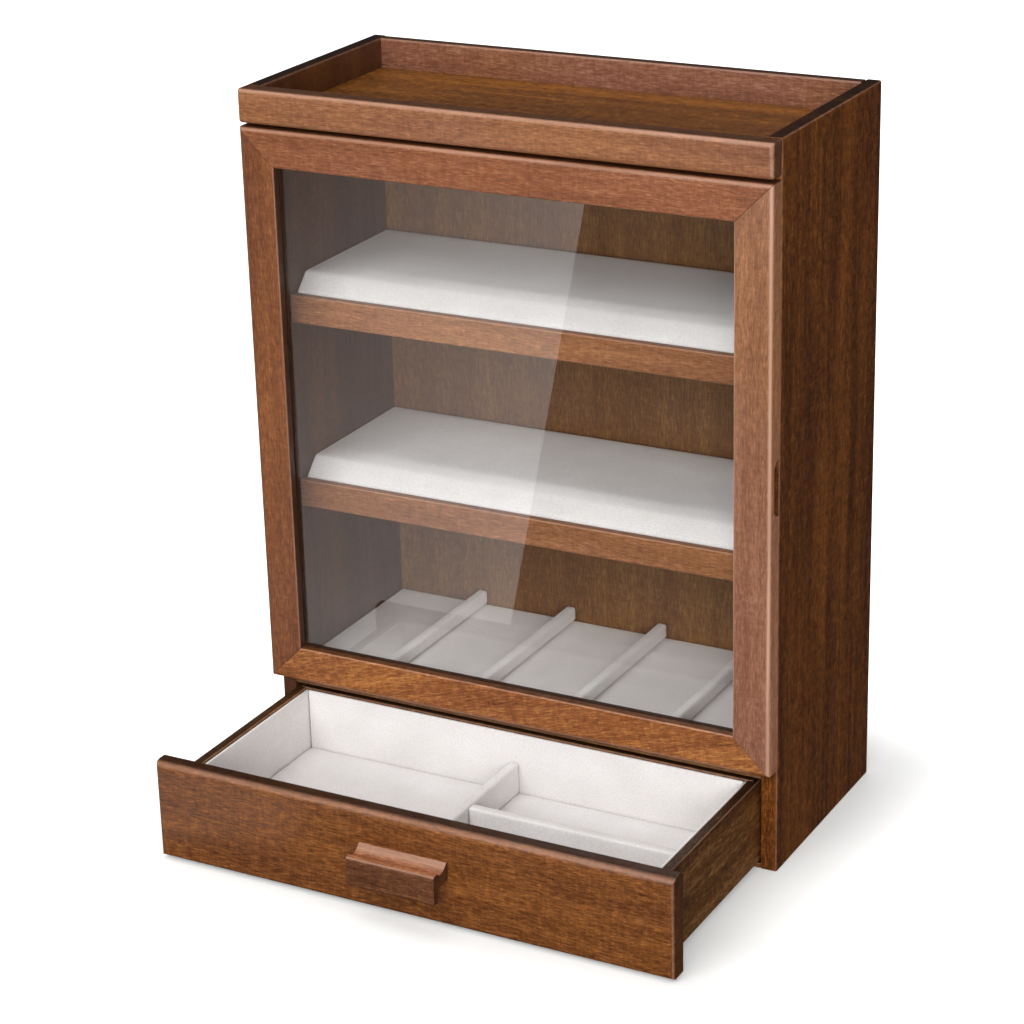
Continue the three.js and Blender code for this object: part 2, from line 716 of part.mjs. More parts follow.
function drawerLinings() {
  const wallZs = [drawerPanelTop + liningGap, drawerBoxTop - linerDrop];
  const dividerZs = [drawerDividerBottom, drawerDividerTop];
  const lengthYs = [drawerFrontBack + liningGap, drawerBackFront - liningGap];
  const betweenSides = [-(linerFace - liningGap), linerFace - liningGap];
  const dividerYs = [linedFront + liningGap, linedBack - liningGap];
  const longDividerXs = [-1, 1].map((side) => longDividerOffset + side * drawerDividerThick / 2);
  const crossXs = [longDividerXs[1] + liningGap, linerFace - liningGap];
  const crossMiddle = (linedFront + linedBack) / 2;
  const crossYs = [-1, 1].map((side) => crossMiddle + side * drawerDividerThick / 2);
  return {
    drawer_liner_left: coveredCard([-linerFace - linerThick, -linerFace], lengthYs, wallZs),
    drawer_liner_right: coveredCard([linerFace, linerFace + linerThick], lengthYs, wallZs),
    drawer_liner_front: coveredCard(betweenSides, [linedFront - linerThick, linedFront], wallZs),
    drawer_liner_back: coveredCard(betweenSides, [linedBack, linedBack + linerThick], wallZs),
    drawer_floor_pad: coveredCard(betweenSides, dividerYs, [drawerPadBottom, drawerPadTop]),
    drawer_long_divider: coveredCard(longDividerXs, dividerYs, dividerZs),
    drawer_cross_divider: coveredCard(crossXs, crossYs, dividerZs),
  };
}

const displayCase = new THREE.Group();
displayCase.name = 'knife_display_case';

const carcass = new THREE.Group();
displayCase.add(carcass);
const boardsBack = backFace - glueLine;
const stop = dadoStop + glueLine;
carcass.add(
  piece('left_side_panel', sidePanel(-1), woodCase),
  piece('right_side_panel', sidePanel(1), woodCase),
  piece('back_panel', backPanel(), woodCase),
  piece('bottom_panel', housedBoard(caseFront, boardsBack, 0, bottomThick, stop), woodCase),
  piece('display_deck', housedBoard(caseFront, boardsBack, deckBottom, deckThick, stop), woodCase),
  piece('top_panel', topPanel(), woodCase),
  piece('tray_front_rail', trayFrontRail(), woodFront),
  piece('tray_back_rail', trayBackRail(), woodCase),
  piece('display_floor_pad', displayFloorPad(), lining),
);
['lower', 'upper'].forEach((level, index) => {
  const underside = shelfUndersides[index];
  carcass.add(
    piece(`${level}_shelf`, housedBoard(lipBack, boardsBack, underside, shelfThick, 0), woodCase),
    piece(`${level}_shelf_lip`, shelfLip(underside), woodFront),
    piece(`${level}_shelf_pad`, shelfPad(underside), lining),
  );
});
for (let index = 0; index < slotDividerCount; index += 1) {
  carcass.add(piece(`slot_divider_${index + 1}`, slotDivider(index), lining));
}
carcass.add(piece('catch_magnet', catchDisc(magnetRadius, caseFront, caseFront + magnetThick), steel));

const door = new THREE.Group();
displayCase.add(door);
const members = doorMembers();
const beads = glassBeads();
door.add(
  piece('door_left_stile', members.left, woodFront),
  piece('door_right_stile', members.right, woodFront),
  piece('door_top_rail', members.top, woodFront),
  piece('door_bottom_rail', members.bottom, woodFront),
  piece('door_glass', doorGlass(), clearGlass),
  piece('door_strike', catchDisc(strikeRadius, doorBack - strikeThick, doorBack), steel),
);
for (const [edge, bead] of Object.entries(beads)) {
  door.add(piece(`glass_bead_${edge}`, bead, woodFront));
}

// Each hinge has its leaves and pin about its own axis. The screws stand in the boards.
for (const [level, height] of Object.entries(hingeHeights)) {
  const hinge = new THREE.Group();
  hinge.position.set(hingeX, hingeY, height);
  hinge.add(
    piece(`${level}_hinge_case_leaf`, hingeLeaf([0, knuckleCount - 1], true), brass),
    piece(`${level}_hinge_door_leaf`, hingeLeaf([1], false), brass),
    piece(`${level}_hinge_pin`, hingePin(), brass),
  );
  displayCase.add(hinge);
  hingeScrews(height, caseFront, true, 0).forEach((screw, index) => {
    carcass.add(piece(`${level}_hinge_case_screw_${index + 1}`, screw, brass));
  });
  hingeScrews(height, doorBack, false, 0).forEach((screw, index) => {
    door.add(piece(`${level}_hinge_door_screw_${index + 1}`, screw, brass));
  });
}

const drawer = new THREE.Group();
drawer.position.y = -drawerOpen;
displayCase.add(drawer);
drawer.add(
  piece('drawer_front', drawerFront(), woodFront),
  piece('drawer_left_side', drawerSide(-1), woodCase),
  piece('drawer_right_side', drawerSide(1), woodCase),
  piece('drawer_back', drawerBack(), woodCase),
  piece('drawer_bottom', drawerBottom(), woodCase),
  piece('drawer_pull', drawerPull(), woodPull),
);
pullScrewXs.forEach((x, index) => drawer.add(piece(`pull_screw_${index + 1}`, pullScrew(x), steel)));
for (const [name, geometry] of Object.entries(drawerLinings())) {
  drawer.add(piece(name, geometry, lining));
}

export default displayCase;
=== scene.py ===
import math
import random

import bmesh
import bpy
from mathutils import Matrix, Vector, noise


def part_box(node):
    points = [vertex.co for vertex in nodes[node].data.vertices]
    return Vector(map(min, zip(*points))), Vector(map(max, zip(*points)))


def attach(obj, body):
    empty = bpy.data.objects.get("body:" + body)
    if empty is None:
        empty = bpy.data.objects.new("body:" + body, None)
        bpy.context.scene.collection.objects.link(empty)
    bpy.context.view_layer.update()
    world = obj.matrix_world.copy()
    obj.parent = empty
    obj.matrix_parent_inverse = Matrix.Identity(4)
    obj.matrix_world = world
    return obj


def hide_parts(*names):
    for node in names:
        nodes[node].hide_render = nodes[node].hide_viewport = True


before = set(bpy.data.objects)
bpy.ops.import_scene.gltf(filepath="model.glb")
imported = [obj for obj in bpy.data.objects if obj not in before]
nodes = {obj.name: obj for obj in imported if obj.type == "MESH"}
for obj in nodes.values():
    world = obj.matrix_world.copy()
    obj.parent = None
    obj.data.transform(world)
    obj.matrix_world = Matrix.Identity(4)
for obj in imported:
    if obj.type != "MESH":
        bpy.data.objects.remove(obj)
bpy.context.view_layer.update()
print("frame loaded,", len(nodes), "nodes")

mm = 0.001


def linear(code):
    channels = [int(code[start:start + 2], 16) / 255 for start in (0, 2, 4)]
    return [c / 12.92 if c <= 0.04045 else ((c + 0.055) / 1.055) ** 2.4 for c in channels] + [1.0]


def addNode(tree, kind, inputs=(), stops=(), **settings):
    node = tree.nodes.new("ShaderNode" + kind)
    for key, value in settings.items():
        setattr(node, key, value)
    for key, value in dict(inputs).items():
        if isinstance(value, bpy.types.NodeSocket):
            tree.links.new(value, node.inputs[key])
        else:
            node.inputs[key].default_value = value
    for index, (position, tone) in enumerate(stops):
        elements = node.color_ramp.elements
        element = elements[index] if index < 2 else elements.new(position)
        element.position = position
        element.color = linear(tone)
    return node


def newMaterial(name):
    material = bpy.data.materials.new(name)
    material.use_nodes = True
    tree = material.node_tree
    return material, tree, tree.nodes["Principled BSDF"]


def setSurface(tree, surface):
    tree.links.new(surface, tree.nodes["Material Output"].inputs["Surface"])


def addMesh(name, shape):
    mesh = bpy.data.meshes.new(name)
    shape.to_mesh(mesh)
    shape.free()
    thing = bpy.data.objects.new(name, mesh)
    bpy.context.scene.collection.objects.link(thing)
    return thing


# Stained hardwood with straight grain, like sapele, sprayed with satin lacquer. The eye sees soft bands a
# finger wide, wavy fibres, faint ripples across them, and short pores that the stain leaves darker.
# A tone's "top" share below 1 is painted shade on its faces that look up; the pull's share above 1 is a
# painted highlight on its cove.
woodTones = {
    "rail": {"stops": ("5a301a", "805336", "a3724c"), "end": 0.6, "top": 0.36, "paintedArrisHighlight": 0.4},
    "door": {"stops": ("4f2814", "7d4b2d", "a36f4b"), "end": 0.6, "top": 1.0, "paintedArrisHighlight": 0.5, "flankPaintedLight": 0.45},
    "doorGold": {"stops": ("522710", "855028", "b57c42"), "end": 0.6, "top": 1.0, "paintedArrisHighlight": 0.35,
                 "flankPaintedLight": 0.45, "reach": 0.25, "slant": 15},
    # The left stile's tone is a darker copy of the door wood: painted shade.
    "doorDark": {"stops": ("482310", "6f4124", "955f37"), "end": 0.6, "top": 1.0, "paintedArrisHighlight": 0.3,
                 "flankPaintedLight": 0.3},
    # The right stile's tone is a paler, pinker copy of the door wood: painted light and sheen.
    "doorPale": {"stops": ("5f3b26", "855a40", "a5775a"), "end": 0.6, "top": 1.0, "paintedArrisHighlight": 0.9,
                 "flankPaintedLight": 1.5},
    # The glass beads' near-black tone is painted shade for the dark reveal around the pane.
    "bead": {"stops": ("1c110a", "2e1d11", "43291a"), "end": 0.8, "top": 1.0, "paintedArrisHighlight": 0.1},
    "lip": {"stops": ("61381d", "8a5b3a", "ae7a51"), "end": 0.6, "top": 0.9, "paintedArrisHighlight": 0.35},
    "drawer": {"stops": ("3b1d09", "683c19", "935c2a"), "end": 0.55, "top": 0.25, "paintedArrisHighlight": 0.22,
               "reach": 0.24, "seed": 31},
    "side": {"stops": ("3a1a08", "62360f", "8e541e"), "end": 0.5, "top": 0.35, "paintedArrisHighlight": 0.2, "reach": 0.19},
    # The left side panel's tone is a darker, duller copy of the side wood: painted shade.
    "sideDark": {"stops": ("34190a", "53311a", "704626"), "end": 0.5, "top": 0.4, "paintedArrisHighlight": 0.12},
    "tray": {"stops": ("3a1e0a", "663d15", "975f22"), "end": 0.5, "top": 1.0, "paintedArrisHighlight": 0.2, "reach": 0.22},
    "rim": {"stops": ("4b2a1c", "744a35", "9a6f57"), "end": 0.5, "top": 0.28, "paintedArrisHighlight": 0.2},
    "back": {"stops": ("51321e", "6e4c2d", "8e693b"), "end": 0.6, "top": 0.8, "paintedArrisHighlight": 0.2},
    "box": {"stops": ("3a200c", "64401f", "946a3f"), "end": 0.55, "top": 0.3, "paintedArrisHighlight": 0.25,
            "reach": 0.22},
    "pull": {"stops": ("361d10", "5e3924", "8c5f3f"), "end": 0.6, "top": 2.2, "paintedArrisHighlight": 0.5},
}
woodFigure = {  # mm across the grain and along it, share of the tone; the last three steer effects below
    "band": (20, 300, 0.5),
    "streak": (4.2, 110, 0.3),
    "ripple": (7, 1.7, 0.2),
    "fibre": (0.8, 6, 0.8),  # real fibres and grain are finer than the picture can show
    "speckle": (0.7, 1.0, 0.3),
    "pore": (0.8, 5, 0),
    "fleck": (0.7, 4, 0),
    "drift": (70, 160, 0),
}
woodShine = {"specular": 0.35, "roughness": (0.35, 0.49), "coat": 0.08, "coatRoughness": 0.22,
             "relief": 0.07, "bump": 0.35, "poreDepth": -0.8}
woodNoise = {"fine": 3.0, "smooth": 1.0, "roughness": 0.6}  # detail of the figure, and how rough it gets
woodStain = {"wanderSize": 125, "wander": 7, "apart": 40, "reach": 0.31, "warm": (1.05, 1.0, 0.84, 1),
             "cool": (0.97, 0.93, 1.05, 1), "pore": (0.7, 0.64, 0.6, 1), "fleck": (1.5, 1.46, 1.42, 1),
             "bare": "c59a82", "patchy": (0.6, 1.2)}
woodStarts = {  # where each effect begins and where it is full, on its figure or on the normal
    "drift": (0.35, 0.65), "pore": (0.6, 0.72), "fleck": (0.56, 0.7), "end": (0.6, 0.95),
    "top": (0.75, 0.98), "flankPaintedLight": (0.1, 0.6), "turning": (0.97, 0.8), "above": (-0.35, -0.1),
    "uneven": (0.3, 0.7), "fibre": (0.3, 0.7),
}


def makeWood(name, tone, grain, seed):
    look = woodTones[tone]
    material, tree, shader = newMaterial(name)
    chance = random.Random(look.get("seed", seed))
    where = addNode(tree, "TexCoord")
    axis = "xyz".index(grain)
    laid = addNode(tree, "VectorRotate", {"Vector": where.outputs["Object"], "Axis": (0, 1, 0),
                                          "Angle": math.radians(look.get("slant", 0))})

    # The grain wanders a few millimetres over a hand's width
    wander = addNode(tree, "TexNoise", {"Vector": where.outputs["Object"], "Detail": woodNoise["smooth"],
                                        "Scale": 1 / (woodStain["wanderSize"] * mm)})
    centred = addNode(tree, "VectorMath", {0: wander.outputs["Color"], 1: (0.5, 0.5, 0.5)},
                      operation="SUBTRACT")
    bent = addNode(tree, "VectorMath", {0: centred.outputs[0], 1: [woodStain["wander"] * mm] * 3,
                                        2: laid.outputs[0]}, operation="MULTIPLY_ADD")
    figure = {}
    for part, (across, along, _) in woodFigure.items():
        scale = [1 / (across * mm)] * 3
        scale[axis] = 1 / (along * mm)
        shift = [chance.uniform(-woodStain["apart"], woodStain["apart"]) for _ in range(3)]
        placed = addNode(tree, "Mapping", {"Vector": bent.outputs[0], "Location": shift, "Scale": scale})
        figure[part] = addNode(tree, "TexNoise", {
            "Vector": placed.outputs[0], "Scale": 1.0, "Roughness": woodNoise["roughness"],
            "Detail": woodNoise["smooth" if part == "ripple" else "fine"]}).outputs["Fac"]

    value = 0.5 - 0.5 * sum(share for _, _, share in woodFigure.values())
    for part, (_, _, share) in woodFigure.items():
        if share:
            value = addNode(tree, "Math", {0: figure[part], 1: share, 2: value},
                            operation="MULTIPLY_ADD").outputs[0]
    reach = look.get("reach", woodStain["reach"])
    tones = addNode(tree, "ValToRGB", {0: value},
                    stops=tuple(zip((0.5 - reach, 0.5, 0.5 + reach), look["stops"])))
    drift = addNode(tree, "MapRange", enumerate((figure["drift"], *woodStarts["drift"], 0.0, 1.0)))
    tint = addNode(tree, "Mix", {0: drift.outputs[0], 6: woodStain["warm"], 7: woodStain["cool"]},
                   data_type="RGBA")
    tinted = addNode(tree, "Mix", {0: 1.0, 6: tones.outputs[0], 7: tint.outputs[2]}, data_type="RGBA",
                     blend_type="MULTIPLY")
    pores = addNode(tree, "MapRange", enumerate((figure["pore"], *woodStarts["pore"], 0.0, 1.0)))
    stained = addNode(tree, "Mix", {0: pores.outputs[0], 6: tinted.outputs[2], 7: woodStain["pore"]},
                      data_type="RGBA", blend_type="MULTIPLY")

    # Fibres that stand proud were cut pale again by the last sanding
    flecks = addNode(tree, "MapRange", enumerate((figure["fleck"], *woodStarts["fleck"], 0.0, 1.0)))
    stained = addNode(tree, "Mix", {0: flecks.outputs[0], 6: stained.outputs[2], 7: woodStain["fleck"]},
                      data_type="RGBA", blend_type="MULTIPLY")

    # End grain drinks more stain. Faces that look up are painted darker where a tone's "top" share is below
    # 1, painted shade, and the pull's cove is painted lighter, a painted highlight; the door's flanks get
    # painted light and shade of their own
    sides = addNode(tree, "SeparateXYZ", {0: where.outputs["Normal"]})
    either = addNode(tree, "VectorMath", {0: where.outputs["Normal"]}, operation="ABSOLUTE")
    parts = addNode(tree, "SeparateXYZ", {0: either.outputs[0]})
    onEnd = addNode(tree, "MapRange", enumerate((parts.outputs[axis], *woodStarts["end"], 1.0, look["end"])))
    topPaintedLight = addNode(tree, "MapRange", enumerate((sides.outputs[2], *woodStarts["top"], 1.0, look["top"])))
    stainAndPaintedLight = addNode(tree, "Math", {0: onEnd.outputs[0], 1: topPaintedLight.outputs[0]}, operation="MULTIPLY")
    # Painted light and shade on the door's flanks: the right stile's are painted lighter, the other members'
    # darker.
    if "flankPaintedLight" in look:
        flankPaintedLightMask = addNode(tree, "MapRange",
                          enumerate((parts.outputs[1], *woodStarts["flankPaintedLight"], look["flankPaintedLight"], 1.0)))
        stainAndPaintedLight = addNode(tree, "Math", {0: stainAndPaintedLight.outputs[0], 1: flankPaintedLightMask.outputs[0]}, operation="MULTIPLY")
    deep = addNode(tree, "VectorMath", {0: stained.outputs[2], "Scale": stainAndPaintedLight.outputs[0]},
                   operation="SCALE")

    # Painted highlight: the rounded arrises, where the surface looks along no axis, are painted toward a
    # pale pinkish tone, except on faces that look down, and unevenly along the streaks
    widest = addNode(tree, "Math", {0: parts.outputs[0], 1: parts.outputs[1]}, operation="MAXIMUM")
    widest = addNode(tree, "Math", {0: widest.outputs[0], 1: parts.outputs[2]}, operation="MAXIMUM")
    turning = addNode(tree, "MapRange",
                      enumerate((widest.outputs[0], *woodStarts["turning"], 0.0, look["paintedArrisHighlight"])))
    above = addNode(tree, "MapRange", enumerate((sides.outputs[2], *woodStarts["above"], 0.0, 1.0)))
    turning = addNode(tree, "Math", {0: turning.outputs[0], 1: above.outputs[0]}, operation="MULTIPLY")
    uneven = addNode(tree, "MapRange",
                     enumerate((figure["streak"], *woodStarts["uneven"], *woodStain["patchy"])))
    paintedArrisHighlight = addNode(tree, "Math", {0: turning.outputs[0], 1: uneven.outputs[0]}, operation="MULTIPLY")
    final = addNode(tree, "Mix", {0: paintedArrisHighlight.outputs[0], 6: deep.outputs[0], 7: linear(woodStain["bare"])},
                    data_type="RGBA")
    tree.links.new(final.outputs[2], shader.inputs["Base Color"])

    rough = addNode(tree, "MapRange",
                    enumerate((figure["fibre"], *woodStarts["fibre"], *woodShine["roughness"])))
    tree.links.new(rough.outputs[0], shader.inputs["Roughness"])
    relief = addNode(tree, "Math", {0: pores.outputs[0], 1: woodShine["poreDepth"], 2: figure["fibre"]},
                     operation="MULTIPLY_ADD")
    bump = addNode(tree, "Bump", {"Height": relief.outputs[0], "Strength": woodShine["bump"],
                                  "Distance": woodShine["relief"] * mm})
    tree.links.new(bump.outputs[0], shader.inputs["Normal"])
    shader.inputs["Specular IOR Level"].default_value = woodShine["specular"]
    shader.inputs["Coat Weight"].default_value = woodShine["coat"]
    shader.inputs["Coat Roughness"].default_value = woodShine["coatRoughness"]
    return material


# Suede-backed microfibre glued over card and foam: a dull pale grey with a short nap that lies in soft
# patches, and a fine grid of threads under it.
liningLook = {"dark": "d5d1cf", "pale": "f1eeed", "nap": 0.9, "patch": 26, "thread": 1.2, "relief": 0.05,
              "apart": 9, "stops": (0.4, 0.95), "patchShare": 0.35, "threadShare": 0.045,
              "threadHeight": 0.16, "bump": 0.5, "roughness": 0.95, "specular": 0.2, "sheen": 0.25,
              "sheenRoughness": 0.5, "napDetail": 4.0, "napRoughness": 0.65, "patchDetail": 2.0,
              "threadMix": (0.34, 0.34, 0.34)}


def makeLining(name, seed, pale=1.0):
    material, tree, shader = newMaterial(name)
    chance = random.Random(seed)
    shift = [chance.uniform(-liningLook["apart"], liningLook["apart"]) for _ in range(3)]
    where = addNode(tree, "TexCoord")
    placed = addNode(tree, "Mapping", {"Vector": where.outputs["Object"], "Location": shift})
    nap = addNode(tree, "TexNoise", {"Vector": placed.outputs[0], "Scale": 1 / (liningLook["nap"] * mm),
                                     "Detail": liningLook["napDetail"],
                                     "Roughness": liningLook["napRoughness"]})
    patch = addNode(tree, "TexNoise", {"Vector": placed.outputs[0], "Scale": 1 / (liningLook["patch"] * mm),
                                       "Detail": liningLook["patchDetail"]})
    # Sines on three axes cross on every face, whichever way it looks; their mean is the weave
    turned = addNode(tree, "VectorMath", {0: placed.outputs[0],
                                          "Scale": 2 * math.pi / (liningLook["thread"] * mm)},
                     operation="SCALE")
    waves = addNode(tree, "VectorMath", {0: turned.outputs[0]}, operation="SINE")
    threads = addNode(tree, "VectorMath", {0: waves.outputs[0], 1: liningLook["threadMix"]},
                      operation="DOT_PRODUCT")
    value = addNode(tree, "Math", {0: patch.outputs["Fac"], 1: liningLook["patchShare"],
                                   2: nap.outputs["Fac"]}, operation="MULTIPLY_ADD")
    value = addNode(tree, "Math", {0: threads.outputs["Value"], 1: liningLook["threadShare"],
                                   2: value.outputs[0]}, operation="MULTIPLY_ADD")
    tones = addNode(tree, "ValToRGB", {0: value.outputs[0]},
                    stops=tuple(zip(liningLook["stops"], (liningLook["dark"], liningLook["pale"]))))
    # pale scales the cloth's colour; a value other than 1 is painted light or painted shade on this copy of
    # the cloth.
    lit = addNode(tree, "VectorMath", {0: tones.outputs[0], "Scale": pale}, operation="SCALE")
    tree.links.new(lit.outputs[0], shader.inputs["Base Color"])
    height = addNode(tree, "Math", {0: threads.outputs["Value"], 1: liningLook["threadHeight"],
                                    2: nap.outputs["Fac"]}, operation="MULTIPLY_ADD")
    bump = addNode(tree, "Bump", {"Height": height.outputs[0], "Strength": liningLook["bump"],
                                  "Distance": liningLook["relief"] * mm})
    tree.links.new(bump.outputs[0], shader.inputs["Normal"])
    shader.inputs["Roughness"].default_value = liningLook["roughness"]
    shader.inputs["Specular IOR Level"].default_value = liningLook["specular"]
    shader.inputs["Sheen Weight"].default_value = liningLook["sheen"]
    shader.inputs["Sheen Roughness"].default_value = liningLook["sheenRoughness"]
    return material


# Drawn brass and ground steel: fine lines along the metal, a little uneven in gloss
metalLooks = {
    "brass": {"dark": "9c7637", "pale": "d0aa62", "roughness": (0.24, 0.4), "line": (0.35, 14)},
    "steel": {"dark": "8f9295", "pale": "cfd2d4", "roughness": (0.22, 0.38), "line": (0.3, 9)},
}
metalFigure = {"cloud": 4.545,  # mm, patches in which the metal is a little paler
               "detail": 2.0, "lineShare": 0.5, "stops": (0.5, 0.95), "starts": (0.3, 0.7)}


def makeMetal(name):
    look = metalLooks[name]
    material, tree, shader = newMaterial(name)
    where = addNode(tree, "TexCoord")
    across, along = (1 / (size * mm) for size in look["line"])
    placed = addNode(tree, "Mapping", {"Vector": where.outputs["Object"], "Scale": (across, across, along)})
    lines = addNode(tree, "TexNoise", {"Vector": placed.outputs[0], "Scale": 1.0,
                                       "Detail": metalFigure["detail"]})
    clouds = addNode(tree, "TexNoise", {"Vector": where.outputs["Object"], "Detail": metalFigure["detail"],
                                        "Scale": 1 / (metalFigure["cloud"] * mm)})
    value = addNode(tree, "Math", {0: lines.outputs["Fac"], 1: metalFigure["lineShare"],
                                   2: clouds.outputs["Fac"]}, operation="MULTIPLY_ADD")
    tones = addNode(tree, "ValToRGB", {0: value.outputs[0]},
                    stops=tuple(zip(metalFigure["stops"], (look["dark"], look["pale"]))))
    tree.links.new(tones.outputs[0], shader.inputs["Base Color"])
    rough = addNode(tree, "MapRange",
                    enumerate((lines.outputs["Fac"], *metalFigure["starts"], *look["roughness"])))
    tree.links.new(rough.outputs[0], shader.inputs["Roughness"])
    shader.inputs["Metallic"].default_value = 1.0
    return material


# Float glass, 3 mm: clear on its faces, bottle green where its edge shows
glassLook = {"edge": "6ea291", "face": "fefffe", "stops": (0.3, 0.9), "index": 1.5, "film": 0.8,
             "clear": "fefefe"}


def makeGlass(name):
    material, tree, shader = newMaterial(name)
    where = addNode(tree, "TexCoord")
    sides = addNode(tree, "SeparateXYZ", {0: where.outputs["Normal"]})
    facing = addNode(tree, "Math", {0: sides.outputs["Y"]}, operation="ABSOLUTE")
    tones = addNode(tree, "ValToRGB", {0: facing.outputs[0]},
                    stops=tuple(zip(glassLook["stops"], (glassLook["edge"], glassLook["face"]))))
    tree.links.new(tones.outputs[0], shader.inputs["Base Color"])
    shader.inputs["Roughness"].default_value = 0.0
    shader.inputs["IOR"].default_value = glassLook["index"]
    shader.inputs["Coat Weight"].default_value = glassLook["film"]  # mirrors a little more than bare glass
    shader.inputs["Coat Roughness"].default_value = 0.0
    shader.inputs["Transmission Weight"].default_value = 1.0
    # Lamps reach what is behind the pane
    rays = addNode(tree, "LightPath")
    lets = addNode(tree, "Math", {0: rays.outputs["Is Shadow Ray"], 1: rays.outputs["Is Diffuse Ray"]},
                   operation="MAXIMUM")
    clear = addNode(tree, "BsdfTransparent", {"Color": linear(glassLook["clear"])})
    mixed = addNode(tree, "MixShader", {0: lets.outputs[0], 1: shader.outputs[0], 2: clear.outputs[0]})
    setSurface(tree, mixed.outputs[0])
    return material


# Which wood each board is cut from, and which way its grain runs
boards = {
    "tray_front_rail": ("rail", "x"), "tray_back_rail": ("rim", "x"), "top_panel": ("tray", "x"),
    "left_side_panel": ("sideDark", "z"), "right_side_panel": ("side", "z"), "back_panel": ("back", "z"),
    "bottom_panel": ("box", "x"), "display_deck": ("back", "x"),
    "lower_shelf": ("back", "x"), "upper_shelf": ("back", "x"),
    "lower_shelf_lip": ("lip", "x"), "upper_shelf_lip": ("lip", "x"),
    "door_left_stile": ("doorDark", "z"), "door_right_stile": ("doorPale", "z"),
    "door_top_rail": ("door", "x"), "door_bottom_rail": ("doorGold", "x"),
    "glass_bead_left": ("bead", "z"), "glass_bead_right": ("bead", "z"),
    "glass_bead_top": ("bead", "x"), "glass_bead_bottom": ("bead", "x"),
    "drawer_front": ("drawer", "x"), "drawer_left_side": ("box", "y"), "drawer_right_side": ("box", "y"),
    "drawer_back": ("box", "x"), "drawer_bottom": ("box", "x"), "drawer_pull": ("pull", "x"),
}
brass = makeMetal("brass")
steel = makeMetal("steel")
paneGlass = makeGlass("paneGlass")


def smoothingGroup(sharpDegrees):
    group = bpy.data.node_groups.new("softShading", "GeometryNodeTree")
    for way in ("INPUT", "OUTPUT"):
        group.interface.new_socket("Geometry", in_out=way, socket_type="NodeSocketGeometry")
    start = group.nodes.new("NodeGroupInput")
    faces = group.nodes.new("GeometryNodeSetShadeSmooth")
    edges = group.nodes.new("GeometryNodeSetShadeSmooth")
    edges.domain = "EDGE"
    angle = group.nodes.new("GeometryNodeInputMeshEdgeAngle")
    blunt = group.nodes.new("ShaderNodeMath")
    blunt.operation = "LESS_THAN"
    blunt.inputs[1].default_value = math.radians(sharpDegrees)
    end = group.nodes.new("NodeGroupOutput")
    for source, target in ((start.outputs[0], faces.inputs[0]), (faces.outputs[0], edges.inputs[0]),
                           (edges.outputs[0], end.inputs[0]), (angle.outputs[0], blunt.inputs[0]),
                           (blunt.outputs[0], edges.inputs["Shade Smooth"])):
        group.links.new(source, target)
    return group


# Hand-sanded arrises on the boards, in mm, and finer ones on the metal and where members meet in a mitre.
# Blender keeps them narrower on the few pieces whose own rounding or mortises leave very short edges.
arrisWidths = {"wood": 0.35, "mitred": 0.07, "round": 1.3, "bullnose": 2.4, "metal": 0.12, "glass": 0.3}
arrisLook = {"weld": 0.001, "flat": 0.5, "sharp": 40, "segments": 2}  # weld in mm, angles in degrees
boardArrises = {"tray_front_rail": "round", "drawer_front": "bullnose", "tray_back_rail": "mitred"}
for name in boards:
    if name.startswith(("door_", "glass_bead_")):
        boardArrises[name] = "mitred"
softShading = smoothingGroup(arrisLook["sharp"])


def easeEdges(board, width):
    weld = board.modifiers.new("weld", "WELD")
    weld.merge_threshold = arrisLook["weld"] * mm
    planes = board.modifiers.new("planes", "DECIMATE")
    planes.decimate_type = "DISSOLVE"
    planes.angle_limit = math.radians(arrisLook["flat"])
    arris = board.modifiers.new("arris", "BEVEL")
    arris.width = width * mm
    arris.segments = arrisLook["segments"]
    arris.limit_method = "ANGLE"
    arris.angle_limit = math.radians(arrisLook["sharp"])
    shading = board.modifiers.new("shading", "NODES")
    shading.node_group = softShading
    normals = board.modifiers.new("normals", "WEIGHTED_NORMAL")
    normals.keep_sharp = True


def dress(name, material, width):
    board = nodes[name]
    board.data.materials.clear()
    board.data.materials.append(material)
    easeEdges(board, width)


for index, (name, (tone, grain)) in enumerate(sorted(boards.items())):
    dress(name, makeWood(name + "_wood", tone, grain, index + 1),
          arrisWidths[boardArrises.get(name, "wood")])
dress("door_glass", paneGlass, arrisWidths["glass"])
for name in nodes:
    if "hinge" in name and "screw" not in name:
        dress(name, brass, arrisWidths["metal"])
for name in ("catch_magnet", "door_strike", "pull_screw_1", "pull_screw_2"):
    dress(name, steel, arrisWidths["metal"])
print("boards, glass and metal dressed")


def addPiece(shape, name, body, material, replaced):
    shape.normal_update()
    thing = addMesh(name, shape)
    thing.data.polygons.foreach_set("use_smooth", [True] * len(thing.data.polygons))
    thing.data.materials.append(material)
    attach(thing, body)
    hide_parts(replaced)
    return thing


roundedFrom = 45  # degrees between two faces


def boxShape(low, high, pitch):
    shape = bmesh.new()
    bmesh.ops.create_cube(shape, size=1)
    size = high - low
    bmesh.ops.scale(shape, vec=size, verts=shape.verts)
    bmesh.ops.translate(shape, vec=(low + high) / 2, verts=shape.verts)
    for axis in range(3):
        cuts = int(size[axis] / pitch)
        along = [e for e in shape.edges
                 if abs(e.verts[0].co[axis] - e.verts[1].co[axis]) > size[axis] * 0.5]
        if cuts:
            bmesh.ops.subdivide_edges(shape, edges=along, cuts=cuts, use_grid_fill=True)
    return shape


def roundOff(shape, radius, segments):
    sharp = [e for e in shape.edges if e.calc_face_angle(0) > math.radians(roundedFrom)]
    bmesh.ops.bevel(shape, geom=sharp, offset=radius, segments=segments, profile=0.5, affect="EDGES",
                    material=-1, clamp_overlap=True)
